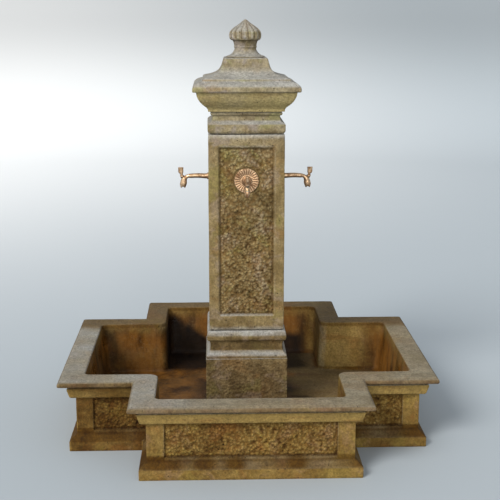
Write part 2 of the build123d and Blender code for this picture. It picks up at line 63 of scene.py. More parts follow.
RIM_A = span("basin", 0)[1]
RIM_Z = span("basin", 2)[1]
COLUMN_HALF = span("column", 0)[1]
COLUMN_LOW, COLUMN_HIGH = span("column", 2)
PEDESTAL_HALF = span("pedestal", 0)[1]
PEDESTAL_LOW, PEDESTAL_HIGH = span("pedestal", 2)
CAP_HALF = span("cap", 0)[1]
CAP_LOW, CAP_HIGH = span("cap", 2)
FINIAL_LOW, FINIAL_TIP = span("finial", 2)
TAP_Z = 0.5 * sum(span("front_rosette", 2))
ROSETTE_BACK, ROSETTE_FRONT = span("right_rosette", 0)
ROSETTE_R = span("right_rosette", 1)[1]
VALVE_AXIS = 0.5 * sum(span("right_spindle", 0))
KEY_LOW, KEY_TOP = span("right_tap_key", 2)

RIM_B = 432.5
LEDGE = 94.0
FLOOR_Z = 68.0
CORE = 75.0

# ------------ noise on arrays of points, in mm


def hashed(cell, shift, seed):
    """A number from 0 to 1 for each lattice cell."""
    x, y, z = (cell[..., axis] + shift[axis] for axis in range(3))
    h = (x * 374761393 + y * 668265263 + z * 1274126177 + seed * 974634777) & 0xFFFFFFFF
    h = ((h ^ (h >> 13)) * 1103515245) & 0xFFFFFFFF
    h = ((h ^ (h >> 16)) * 668265263) & 0xFFFFFFFF
    return ((h ^ (h >> 15)) & 0xFFFF) / 65535.0


def noise(points, size, seed):
    """Smooth noise from -1 to 1."""
    q = points / size
    cell = np.floor(q).astype(np.int64)
    f = q - cell
    f = f * f * (3 - 2 * f)
    total = 0.0
    for dx in (0, 1):
        for dy in (0, 1):
            for dz in (0, 1):
                corner = (dx, dy, dz)
                wx, wy, wz = (f[..., a] if corner[a] else 1 - f[..., a] for a in range(3))
                total = total + wx * wy * wz * hashed(cell, corner, seed)
    return 2 * total - 1


def layered(points, size, seed, layers=3):
    """Noise in several sizes, each half the one before."""
    total, weight = 0.0, 1.0
    for step in range(layers):
        total = total + weight * noise(points, size / 2**step, seed + step)
        weight *= 0.5
    return total


def cells(points, size, seed):
    """The distance to the nearest of a jittered set of points, in cell sizes."""
    q = points / size
    cell = np.floor(q).astype(np.int64)
    best = np.full(points.shape[:-1], 9.0)
    for dx in (-1, 0, 1):
        for dy in (-1, 0, 1):
            for dz in (-1, 0, 1):
                shift = (dx, dy, dz)
                place = [cell[..., a] + shift[a] + hashed(cell, shift, seed + a) for a in range(3)]
                gap = sum((q[..., a] - place[a]) ** 2 for a in range(3))
                best = np.minimum(best, gap)
    return np.sqrt(best)


def smooth(low, high, value):
    t = np.clip((value - low) / (high - low), 0, 1)
    return t * t * (3 - 2 * t)


def tooled(points, seed):
    """The height of a pecked surface: overlapping chips, short slanting strokes and small pits."""
    warp = np.stack([noise(points, 16, seed + a) for a in (5, 6, 7)], -1)
    chips = 0.6 - cells(points + 4 * warp, 13, seed)
    slant = points @ np.array([[1.0, 0.0, 1.0], [0.0, 1.0, 0.9], [-0.6, 0.5, 0.8]])
    strokes = noise(slant * np.array([0.5, 0.5, 1.0]), 9, seed + 3)
    return 5.5 * chips + 1.6 * strokes + 1.4 * noise(points, 8, seed + 9) + 0.8 * noise(points, 60, seed + 11)


# ------------ outlines and plans


def softened(points, arc_steps=3):
    """An outline of (inset, height, radius) corners with each corner rounded to its radius."""
    out = []
    count = len(points)
    for i, (d, z, radius) in enumerate(points):
        here = np.array([d, z], float)
        if radius <= 0 or i in (0, count - 1):
            out.append(here)
            continue
        arms = [np.array(points[j][:2], float) - here for j in (i - 1, i + 1)]
        lengths = [np.linalg.norm(arm) for arm in arms]
        reach = min(radius, 0.45 * min(lengths))
        start, end = (here + arm / length * reach for arm, length in zip(arms, lengths))
        for step in range(arc_steps + 1):
            t = step / arc_steps
            out.append((1 - t) ** 2 * start + 2 * t * (1 - t) * here + t * t * end)
    return out


def divided(points, step, where=None):
    """The outline with extra points so that none are further apart than step. With where, only between
    two points for which it is true."""
    points = np.array(points, float)
    out = [points[0]]
    for i, (a, b) in enumerate(zip(points, points[1:])):
        n = 1
        if where is None or (where[i] and where[i + 1]):
            n = max(1, math.ceil(np.linalg.norm(b - a) / step))
        out += [a + (b - a) * k / n for k in range(1, n + 1)]
    return np.array(out)


CROSS = [(1, 0, -1, 1), (1, 0, 1, 1), (1, 1, 1, 1), (1, 1, 1, 0), (-1, 1, 1, 0), (-1, 1, 1, 1)]
CROSS += [(-1, 0, 1, 1), (-1, 0, -1, 1), (-1, 1, -1, 1), (-1, 1, -1, 0), (1, 1, -1, 0), (1, 1, -1, 1)]
SQUARE = [(1, 0, -1, 0), (1, 0, 1, 0), (-1, 0, 1, 0), (-1, 0, -1, 0)]


class Sweep:
    """A grid of points that follows an outline round a plan. Rows go along the outline and columns round
    the plan. halves is each row's half length A and half width B, spread is 0 where the columns keep
    fixed places along an edge and 1 where they are spread evenly."""

    def __init__(self, plan, halves, z, convex, concave, spread, stops, arc, zone):
        self.plan, self.halves, self.z, self.spread = plan, halves, z, spread
        self.convex, self.concave = convex, concave
        self.stops, self.arc, self.zone = stops, arc, zone
        ideal = (2.0, 1.0)
        place = [np.array([c[0] * ideal[c[1]], c[2] * ideal[c[3]]]) for c in plan]
        steps = [after - here for here, after in zip(place, place[1:] + place[:1])]
        self.way = [step / np.linalg.norm(step) for step in steps]
        self.columns = self.find_columns()

    def is_end(self, i):
        """True for an edge that is symmetric about the middle of its side."""
        a, b = self.plan[i], self.plan[(i + 1) % len(self.plan)]
        return (a[0], a[2]) != (b[0], b[2])

    def stops_on(self, i):
        """The fixed places along edge i, in its own direction."""
        if self.is_end(i):
            return np.array(self.stops["end"])
        stops = np.array(self.stops["side"])
        start = self.plan[i]
        axis = 0 if abs(self.way[i][0]) > 0.5 else 1
        sign = (start[0], start[2])[axis] * self.way[i][axis]
        return stops if sign > 0 else -stops[::-1]

    def find_columns(self):
        """Every column as (kind, edge or corner index, number)."""
        columns = []
        for i in range(len(self.plan)):
            columns += [("corner", i, k) for k in range(self.arc + 1)]
            n = len(self.stops_on(i)) + 2 * (self.zone - 1)
            columns += [("edge", i, k) for k in range(n)]
        return columns

    def turns_out(self, i):
        """True where the plan has an outer corner at corner i."""
        a, b = self.way[i - 1], self.way[i % len(self.plan)]
        return a[0] * b[1] - a[1] * b[0] > 0

    def radius(self, i):
        return (self.convex if self.turns_out(i) else self.concave)[:, None]

    def corner(self, half, i):
        c = self.plan[i % len(self.plan)]
        return np.stack([c[0] * half[c[1]], c[2] * half[c[3]]], -1)

    def corner_point(self, half, i, k):
        """Point k of the arc round corner i, in every row."""
        before, after = (np.array([way[1], -way[0]]) for way in (self.way[i - 1], self.way[i]))
        angle = 0.5 * math.pi * k / self.arc
        r = self.radius(i) if self.turns_out(i) else -self.radius(i)
        middle = self.corner(half, i) - r * (before + after)
        return middle + r * (math.cos(angle) * before + math.sin(angle) * after)

    def edge_point(self, half, i, k):
        """Point k along edge i, in every row, and how far along it is."""
        t = self.way[i]
        n = np.array([t[1], -t[0]])
        here = self.corner(half, i)
        start = (here + self.radius(i) * t) @ t
        end = (self.corner(half, i + 1) - self.radius(i + 1) * t) @ t
        stops, m = self.stops_on(i), self.zone
        if k < m - 1:
            fixed = start + (stops[0] - start) * (k + 1) / m
        elif k < m - 1 + len(stops):
            fixed = np.full(len(self.z), stops[k - m + 1])
        else:
            fixed = stops[-1] + (end - stops[-1]) * (k - m - len(stops) + 2) / m
        even = start + (end - start) * (k + 1) / (len(stops) + 2 * m - 1)
        along = (1 - self.spread) * fixed + self.spread * even
        return (here @ n)[:, None] * n + along[:, None] * t, along

    def points(self, inset):
        """The grid's points, each moved in by inset. Also notes each point's place along its edge, and each
        column's kind: 0 on an end, 1 on a side, 2 at an outer corner and 3 at an inner one."""
        rows, count = len(self.z), len(self.columns)
        xyz = np.zeros((rows, count, 3))
        xyz[:, :, 2] = self.z[:, None]
        self.along = np.zeros((rows, count))
        self.kind = np.zeros(count, int)
        for j, (kind, i, k) in enumerate(self.columns):
            half = (self.halves[:, 0] - inset[:, j], self.halves[:, 1] - inset[:, j])
            if kind == "corner":
                xyz[:, j, :2] = self.corner_point(half, i, k)
                self.kind[j] = 2 if self.turns_out(i) else 3
            else:
                xyz[:, j, :2], self.along[:, j] = self.edge_point(half, i, k)
                self.kind[j] = 0 if self.is_end(i) else 1
        return xyz


def grid_faces(rows, columns, closed_rows):
    """Quads over a grid whose columns wrap round, and whose rows do too if closed_rows."""
    k = np.arange(rows if closed_rows else rows - 1)
    kk, jj = np.meshgrid(k, np.arange(columns), indexing="ij")
    nk, nj = (kk + 1) % rows, (jj + 1) % columns
    quads = np.stack([kk * columns + jj, kk * columns + nj, nk * columns + nj, nk * columns + jj], -1)
    return [tuple(quad) for quad in quads.reshape(-1, 4)]


def lids(rows, columns):
    """The faces that close a grid's first and last rows."""
    start = (rows - 1) * columns
    return [tuple(range(columns - 1, -1, -1)), tuple(range(start, start + columns))]


def grid_normals(xyz, closed_rows):
    """Outward normals of a grid swept anticlockwise and upwards."""
    round_plan = np.roll(xyz, -1, 1) - np.roll(xyz, 1, 1)
    if closed_rows:
        up = np.roll(xyz, -1, 0) - np.roll(xyz, 1, 0)
    else:
        up = np.gradient(xyz, axis=0)
    n = np.cross(round_plan, up)
    return n / np.maximum(np.linalg.norm(n, axis=-1, keepdims=True), 1e-9)


def beside(values, closed_rows):
    """The sum of each grid point's four neighbours, where an open edge repeats its own row."""
    if closed_rows:
        along = np.roll(values, -1, 0) + np.roll(values, 1, 0)
    else:
        along = np.concatenate([values[1:], values[-1:]]) + np.concatenate([values[:1], values[:-1]])
    return np.roll(values, -1, 1) + np.roll(values, 1, 1) + along


def weathered(xyz, closed_rows, seed, wave=0.8, chip=2.4):
    """The grid with a cast stone's slight waviness and chipped, worn arrises. Also returns how worn."""
    normals = grid_normals(xyz, closed_rows)
    sharp = np.maximum(((xyz - beside(xyz, closed_rows) / 4) * normals).sum(-1), 0)
    for _ in range(3):
        sharp = 0.4 * sharp + 0.15 * beside(sharp, closed_rows)
    worn = smooth(0.05, 0.7, sharp)
    joint = np.minimum(np.abs(xyz[..., 2] - COLUMN_HIGH), np.abs(xyz[..., 2] - COLUMN_LOW))
    chip = chip * smooth(3, 14, joint)
    chips = smooth(0.1, 0.9, layered(xyz, 24, seed) + 0.35 * noise(xyz, 120, seed + 4))
    shift = wave * (0.7 * noise(xyz, 150, seed + 1) + 0.45 * noise(xyz, 38, seed + 2))
    shift = shift + 0.22 * noise(xyz, 11, seed + 3) - chip * worn * chips - 0.5 * worn
    return xyz + normals * np.minimum(shift, 0.25)[..., None], worn


# ------------ meshes and pieces


def new_piece(name, vertices, faces, material, body, replaced, attributes):
    """Makes a mesh piece from points in mm, with its named vertex values, and rides it on its body."""
    mesh = bpy.data.meshes.new(name)
    mesh.from_pydata((np.asarray(vertices) * MM).tolist(), [], [list(map(int, f)) for f in faces])
    mesh.validate()
    for label, values in attributes.items():
        layer = mesh.attributes.new(label, "FLOAT", "POINT")
        layer.data.foreach_set("value", np.asarray(values, np.float32).ravel())
    mesh.polygons.foreach_set("use_smooth", [True] * len(mesh.polygons))
    mesh.materials.append(material)
    piece = bpy.data.objects.new(name, mesh)
    bpy.context.scene.collection.objects.link(piece)
    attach(piece, body)
    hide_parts(*replaced)
    return piece


def turned(points, degrees):
    """Points modelled for the right side, turned to another side."""
    a = math.radians(degrees)
    spin = np.array([[math.cos(a), -math.sin(a), 0], [math.sin(a), math.cos(a), 0], [0, 0, 1]])
    return np.asarray(points) @ spin.T


def lofted(rings):
    """Vertices and faces of a closed skin through rings of equal length."""
    rows, columns = len(rings), len(rings[0])
    return np.concatenate(rings), grid_faces(rows, columns, False) + lids(rows, columns)


# ------------ materials


class Nodes:
    """Short forms for building a material's node tree."""

    def __init__(self, name):
        self.material = bpy.data.materials.new(name)
        self.material.use_nodes = True
        self.tree = self.material.node_tree
        self.shader = self.tree.nodes["Principled BSDF"]

    def add(self, kind, inputs=None, **settings):
        """A node with its settings made, and its inputs linked or set."""
        node = self.tree.nodes.new(kind)
        for key, value in settings.items():
            setattr(node, key, value)
        for socket, source in (inputs or {}).items():
            self.link(source, node.inputs[socket])
        return node

    def link(self, source, target):
        if isinstance(source, (int, float)):
            target.default_value = source
        elif isinstance(source, tuple):
            target.default_value = (*source, 1.0)[:len(target.default_value)]
        else:
            self.tree.links.new(source, target)

    def put(self, socket, source):
        self.link(source, self.shader.inputs[socket])

    def place(self, scale=(1, 1, 1)):
        place = self.add("ShaderNodeTexCoord").outputs["Object"]
        return self.add("ShaderNodeMapping", {"Vector": place, "Scale": scale}).outputs["Vector"]

    def noise(self, scale, detail=4.0, rough=0.55, place=None, warp=0.0):
        inputs = {"Vector": place or self.place(), "Scale": scale, "Detail": detail}
        inputs |= {"Roughness": rough, "Distortion": warp}
        return self.add("ShaderNodeTexNoise", inputs).outputs["Fac"]

    def voronoi(self, scale):
        inputs = {"Vector": self.place(), "Scale": scale}
        return self.add("ShaderNodeTexVoronoi", inputs).outputs["Distance"]

    def ramp(self, value, low, high, start=0.0, end=1.0):
        inputs = {"Value": value, "From Min": low, "From Max": high, "To Min": start, "To Max": end}
        return self.add("ShaderNodeMapRange", inputs, interpolation_type="SMOOTHSTEP").outputs["Result"]

    def mix(self, factor, a, b, blend="MIX"):
        inputs = {"Factor": factor, 6: a, 7: b}
        return self.add("ShaderNodeMix", inputs, data_type="RGBA", blend_type=blend).outputs[2]

    def tinted(self, factor, colour, tint):
        return self.mix(factor, colour, self.mix(1.0, colour, tint, "MULTIPLY"))

    def math(self, operation, a, b):
        return self.add("ShaderNodeMath", {0: a, 1: b}, operation=operation).outputs[0]

    def times(self, a, b):
        return self.math("MULTIPLY", a, b)

    def value(self, name):
        return self.add("ShaderNodeAttribute", attribute_name=name).outputs["Fac"]

    def height(self):
        return self.add("ShaderNodeSeparateXYZ", {0: self.place()}).outputs["Z"]

    def facing_up(self):
        normal = self.add("ShaderNodeNewGeometry").outputs["Normal"]
        return self.add("ShaderNodeSeparateXYZ", {0: normal}).outputs["Z"]

    def bump(self, height, distance, strength, after=None):
        inputs = {"Height": height, "Distance": distance, "Strength": strength}
        if after:
            inputs["Normal"] = after
        return self.add("ShaderNodeBump", inputs).outputs["Normal"]


def stone(name, dark, middle, light, rusty, mossy, mauve, crust, wash, high, low):
    """Aged cast stone. Vertex values: worn on arrises, painted shade in pits, grooves, sunk edges and under
    mouldings, pecked where tooled, grime where it has gathered and painted shade on the trough's side arms,
    bleached where lime has settled, the colour wash under the mouldings and painted light on the trough's
    rear right inner stone, wet on the trough's inside, lifted where light is painted, and black where the
    water has blackened it and where shadow is painted at the trough's rear. The colour is multiplied by
    high above the pillar's shaft and by low below its foot."""
    n = Nodes(name)
    blotch = n.noise(3.4, 5, 0.62, warp=0.4)
    patch = n.noise(15, 5, 0.65)
    mottle = n.noise(62, 5, 0.7)
    grain = n.noise(130, 4, 0.62)
    speck = n.noise(420, 2, 0.6)
    drip = n.noise(1.0, 5, 0.6, place=n.place((34, 34, 4)))
    colour = n.mix(n.ramp(blotch, 0.36, 0.64), dark, middle)
    colour = n.mix(n.ramp(patch, 0.38, 0.66, 0.0, 0.9), colour, light)
    colour = n.mix(n.ramp(drip, 0.52, 0.70, 0.0, 0.4), colour, dark)
    for scale, tint in ((7.0, rusty), (9.5, mossy), (12.0, mauve)):
        colour = n.mix(n.ramp(n.noise(scale, 4, 0.6, warp=0.5), 0.52, 0.66, 0.0, 0.6), colour, tint)
    height = n.height()
    above = n.ramp(n.math("ADD", height, n.times(patch, 0.12)), 1.06, 1.34)
    below = n.ramp(n.math("ADD", height, n.times(patch, 0.10)), 0.42, 0.30)
    colour = n.tinted(below, n.tinted(above, colour, high), low)
    wash = n.mix(n.ramp(patch, 0.3, 0.7), wash, tuple(0.74 * c for c in wash))
    runs = n.noise(5, 4, 0.6, place=n.place((1, 1, 6)))
    wash = n.mix(n.ramp(runs, 0.50, 0.68, 0.0, 0.55), wash, rusty)
    # the colour wash under the mouldings, and painted light on the trough's rear right inner stone
    colour = n.mix(n.value("wash_and_painted_light"), colour, wash)
    colour = grown_over(n, colour, patch, blotch, crust)
    # grime, and painted shade on the trough's side arms, from one vertex value
    colour = n.tinted(n.value("stain_and_shade"), colour, (0.38, 0.28, 0.14))
    # painted shade in pits, grooves, sunk edges and under mouldings
    colour = n.tinted(n.value("painted_shade"), colour, (0.40, 0.33, 0.25))
    lumps = n.voronoi(88)
    # painted shade in the pits between the tooled lumps
    pit_shade = n.times(n.value("pecked"), n.ramp(lumps, 0.36, 0.74))
    colour = n.tinted(pit_shade, colour, (0.72, 0.62, 0.50))
    # painted highlight on the tops of the tooled lumps
    lump_highlight = n.times(n.value("pecked"), n.ramp(lumps, 0.34, 0.12))
    colour = n.tinted(lump_highlight, colour, (1.40, 1.39, 1.34))
    tone = n.times(n.ramp(mottle, 0.30, 0.70, 0.84, 1.16), n.ramp(grain, 0.30, 0.70, 0.78, 1.22))
    shade = n.add("ShaderNodeCombineXYZ", {0: tone, 1: tone, 2: tone})
    colour = n.mix(1.0, colour, shade.outputs[0], "MULTIPLY")
    colour = n.mix(n.ramp(speck, 0.40, 0.30, 0.0, 0.5), colour, tuple(0.4 * c for c in dark))
    hole = n.ramp(n.voronoi(38), 0.085, 0.055)
    colour = n.mix(n.times(hole, 0.85), colour, (0.010, 0.008, 0.006))
    n.put("Base Color", dampened(n, colour, mottle))
    shine = n.ramp(n.noise(6, 4, 0.6), 0.35, 0.65, 0.22, 0.6)
    wet = n.value("wet")
    dull = n.ramp(grain, 0.3, 0.7, 0.80, 0.98)
    rough = n.add("ShaderNodeMix", {"Factor": wet, 2: dull, 3: shine}, data_type="FLOAT")
    n.put("Roughness", rough.outputs[0])
    n.shader.inputs["Specular IOR Level"].default_value = 0.14
    dry_and_lit = n.math("SUBTRACT", 1.0, n.times(wet, 0.6))
    relief = n.bump(n.times(n.value("pecked"), n.math("SUBTRACT", 1.0, lumps)), 0.008, 0.9)
    for source, distance, strength in ((mottle, 0.006, 0.9), (grain, 0.003, 0.9), (speck, 0.0008, 0.7)):
        relief = n.bump(n.times(source, dry_and_lit), distance, strength, relief)
    n.put("Normal", n.bump(n.times(hole, -1.0), 0.004, 1.0, relief))
    return n.material


def grown_over(n, colour, patch, blotch, crust):
    """The colour with lichen where it faces up, lime where bleached and pale arrises where worn."""
    up = n.ramp(n.facing_up(), 0.2, 0.85)
    lichen = n.mix(n.ramp(patch, 0.36, 0.62), crust, tuple(0.66 * c for c in crust))
    brown = n.ramp(n.noise(8, 4, 0.6, warp=0.6), 0.50, 0.64, 0.0, 0.4)
    lichen = n.mix(brown, lichen, (0.28, 0.20, 0.115))
    clean = n.math("SUBTRACT", 1.0, n.times(n.value("stain_and_shade"), 0.85))
    growth = n.times(n.times(up, clean), n.ramp(blotch, 0.36, 0.60, 0.94, 0.76))
    colour = n.mix(growth, colour, lichen)
    lime = n.times(n.value("bleached"), n.ramp(patch, 0.35, 0.6, 0.65, 1.0))
    colour = n.mix(lime, colour, (0.42, 0.44, 0.45))
    edge = n.times(n.value("worn"), n.ramp(patch, 0.3, 0.6, 0.5, 1.0))
    return n.mix(n.ramp(edge, 0.1, 0.9, 0.0, 0.55), colour, tuple(1.15 * c for c in crust))


def dampened(n, colour, mottle):
    """The colour, turned to a wet brown where wet and to black where water has blackened it and where shadow
    is painted.
    """
    streak = n.noise(10, 6, 0.7, place=n.place((1, 1, 0.35)))
    damp = n.mix(n.ramp(streak, 0.34, 0.66), (0.034, 0.012, 0.002), (0.215, 0.088, 0.014))
    damp = n.mix(n.ramp(mottle, 0.5, 0.75, 0.0, 0.35), damp, (0.26, 0.16, 0.06))
    black = n.times(n.value("soaked_and_shadowed"), n.ramp(streak, 0.75, 0.85, 0.93, 1.0))
    return n.mix(black, n.mix(n.value("wet"), colour, damp), (0.003, 0.002, 0.002))


def bronze(name, colour, patina_and_shade, rough_low, rough_high, amount):
    """Worn bronze with brown patina in patches and where its vertex value says: patina in the rosettes'
    valleys, painted shade under the arms and round the hubs, and darker at the keys' feet.
    """
    n = Nodes(name)
    patch = n.noise(60, 5, 0.65)
    fine = n.noise(420, 4, 0.6)
    mask = n.math("MAXIMUM", n.ramp(patch, 0.42, 0.66, 0.0, amount), n.value("patina_and_shade_amount"))
    n.put("Base Color", n.mix(mask, colour, patina_and_shade))
    n.shader.inputs["Metallic"].default_value = 0.85
    n.put("Roughness", n.ramp(n.math("ADD", patch, n.times(fine, 0.3)), 0.45, 0.8, rough_low, rough_high))
    n.put("Normal", n.bump(fine, 0.0004, 0.5, n.bump(patch, 0.0008, 0.4)))
    return n.material


def plain(name, colour, metallic, rough_low, rough_high):
    """A small fitting's finish: even colour with slight mottling."""
    n = Nodes(name)
    fleck = n.noise(90, 5, 0.6)
    n.put("Base Color", n.mix(n.ramp(fleck, 0.35, 0.7), colour, tuple(0.72 * c for c in colour)))
    n.shader.inputs["Metallic"].default_value = metallic
    n.put("Roughness", n.ramp(fleck, 0.3, 0.7, rough_low, rough_high))
    n.put("Normal", n.bump(fleck, 0.0003, 0.6))
    return n.material


PILLAR = stone("pillar_stone", (0.140, 0.095, 0.039), (0.207, 0.145, 0.059), (0.290, 0.213, 0.099),
               (0.240, 0.140, 0.050), (0.235, 0.195, 0.065), (0.290, 0.220, 0.150),
               (0.36, 0.345, 0.31), (0.42, 0.33, 0.14), (1.12, 1.28, 1.75), (0.66, 0.64, 0.66))
TROUGH = stone("basin_stone", (0.115, 0.061, 0.014), (0.192, 0.112, 0.027), (0.265, 0.170, 0.050),
               (0.215, 0.095, 0.024), (0.255, 0.175, 0.042), (0.250, 0.150, 0.070),
               (0.320, 0.285, 0.205), (0.40, 0.270, 0.086), (1.0, 1.0, 1.0), (1.0, 1.0, 1.0))
BRONZE = bronze("bronze", (0.60, 0.41, 0.25), (0.20, 0.09, 0.035), 0.32, 0.56, 0.85)
DULL_BRONZE = bronze("standpipe_bronze", (0.36, 0.26, 0.14), (0.10, 0.07, 0.04), 0.35, 0.6, 0.9)
FINISHES = {
    "bronze": BRONZE,
    "standpipe_bronze": DULL_BRONZE,
    "brass": plain("brass", (0.62, 0.47, 0.20), 1.0, 0.25, 0.5),
    "copper": plain("copper", (0.62, 0.30, 0.18), 1.0, 0.22, 0.5),
    "rubber": plain("rubber", (0.02, 0.02, 0.02), 0.0, 0.6, 0.85),
    "valve_plastic": plain("valve_plastic", (0.80, 0.79, 0.74), 0.0, 0.35, 0.5),
    "steel": plain("steel", (0.55, 0.55, 0.56), 1.0, 0.25, 0.45),
    "chrome": plain("chrome", (0.75, 0.75, 0.76), 1.0, 0.06, 0.18),
    "lead": plain("lead", (0.16, 0.16, 0.17), 0.6, 0.5, 0.8),
}


# ------------ the trough


def trough_outline():
    """From the foot of the plinth, up and over the rim, and down the inside to the floor."""
    outside = [(36, 0, 0), (35, 1, 0), (35, 38, 3), (62, 62, 2), (62, 72.5, 0), (62, 76, 0), (62, 198, 0)]
    outside += [(62, 201.5, 0), (62, 205, 1), (45, 207.5, 2), (40.5, 212, 2), (32, 241, 3), (33, 247, 2)]
    outside += [(42, 250.5, 2), (41, 255.5, 2), (20, 259.5, 3), (3, 261.5, 3), (0.3, 266, 2), (0.3, 272, 4)]
    outside += [(3.5, 280, 4), (12, 283.9, 6), (90, 283.7, 3), (LEDGE, 280, 3)]
    inside = [(LEDGE + 1.0, 262, 0), (LEDGE + 20, FLOOR_Z + 10, 12), (LEDGE + 30, FLOOR_Z, 0)]
    return outside + inside


def trough_stops(limit_low, limit_high, edge, step):
    """Column places between two limits, close together at a panel's edge and spread to each side of it."""
    near = [edge - 7.5, edge - 3.2, edge - 0.8, edge + 0.8, edge + 3.5]
    inner = np.arange(near[0] - step, limit_low, -step)[::-1]
    outer = np.arange(near[-1] + step, limit_high, step)
    return [*inner, *near, *outer]


def recess(edge_gap, groove):
    """How far inside a panel's edge a point is: 0 outside it, 1 inside, with a deeper groove at the edge."""
    inside = smooth(-0.9, 0.9, edge_gap)
    return inside, inside * groove * np.exp(-np.maximum(edge_gap - 1.5, 0) ** 2 / 18)


WALL_INSET = 62.0
PLINTH_TOP = 62.0
PANEL_LOW, PANEL_TOP = 75.0, 200.0
END_PANEL, SIDE_PANEL = 306.5, 584.0
CORNER = RIM_B - LEDGE


def make_trough():
    outline = divided(softened(trough_outline()), 9.0)
    wall = (np.abs(outline[:, 0] - WALL_INSET) < 0.5) & (outline[:, 1] > 72)
    outline = divided(outline, 4.4, wall)
    inset, z = outline[:, 0], outline[:, 1]
    inner = smooth(10, LEDGE - 2, inset) * (z > 255)
    inner = np.where((inset > LEDGE - 2) & (z < 283), 1.0, inner)
    side_inset = np.where(inset > LEDGE + 1, LEDGE + 1 + (inset - LEDGE - 1) * 0.30, inset)
    halves = np.stack([RIM_A - inset, RIM_B - side_inset], -1)
    end_half = trough_stops(4, 357, END_PANEL, 4.9)
    side = trough_stops(441, 637, SIDE_PANEL, 4.9)
    stops = {"end": [-s for s in end_half[::-1]] + end_half, "side": side}
    sweep = Sweep(CROSS, halves, z, 3.0 + 21 * inner, 2.5 + 32 * inner, inner, stops, arc=5, zone=7)
    flat = sweep.points(np.zeros((len(z), len(sweep.columns))))
    kind = np.broadcast_to(sweep.kind, sweep.along.shape)
    on_end, on_side = END_PANEL - np.abs(sweep.along), SIDE_PANEL - np.abs(sweep.along)
    gap_u = np.select([kind == 0, kind == 1, kind == 3], [on_end, on_side, 60.0], -60.0)
    gap_z = np.minimum(z - PANEL_LOW, PANEL_TOP - z)[:, None] + 0 * gap_u
    on_wall = ((np.abs(inset - WALL_INSET) < 0.6) & (z > 66))[:, None]
    inside_u, groove_u = recess(gap_u, 2.0)
    inside_z, groove_z = recess(gap_z, 1.5)
    inside = inside_u * inside_z * on_wall
    rough = tooled(flat, 11)
    border = smooth(0, 14, np.minimum(gap_u, gap_z))
    depth = inside * (8.5 - 0.62 * rough * border) + (groove_u * inside_z + groove_z * inside_u) * on_wall
    xyz, worn = weathered(sweep.points(depth), False, 21)
    # painted shade: darker in the tooled pits, along the panels' sunk edges, in the grooves, where the slope
    # meets the wall and on the rim's rounded lip
    painted_shade = inside * smooth(0.2, -2.4, rough) * border
    painted_shade = np.maximum(painted_shade, 0.7 * inside * smooth(9, 1.5, np.minimum(gap_u + 2, gap_z + 3)))
    groove = ((inset > 37) & (inset < 44) & (z > 248) & (z < 257)) | ((inset > 57) & (z > 60) & (z < 66))
    lip = (inset < 9) & (z > 258)
    painted_shade = np.maximum(painted_shade, np.maximum(0.45 * groove, 0.36 * lip)[:, None])
    stains = trough_stains(xyz, inset[:, None], z[:, None], kind)
    worn = 0.55 * worn * (1 - 0.8 * stains["wet"])
    xyz[:, :, 2] = np.maximum(xyz[:, :, 2], 0)
    rows, columns = gap_u.shape
    floor, floor_faces = filled(xyz[-1], 15.0, 31)
    middle = floor[columns:]
    last_row = (rows - 1) * columns
    faces = grid_faces(rows, columns, False) + [tuple(last_row + i for i in face) for face in floor_faces]
    faces.append(lids(rows, columns)[0])
    vertices = np.concatenate([xyz.reshape(-1, 3), middle])
    on_floor = floor_stains(middle)
    none = np.zeros(len(middle))
    values = {"worn": worn, "painted_shade": painted_shade, "pecked": inside} | stains
    values = {label: np.concatenate([v.ravel(), on_floor.get(label, none)]) for label, v in values.items()}
    new_piece("trough", vertices, faces, TROUGH, "fountain", ["basin"], values)


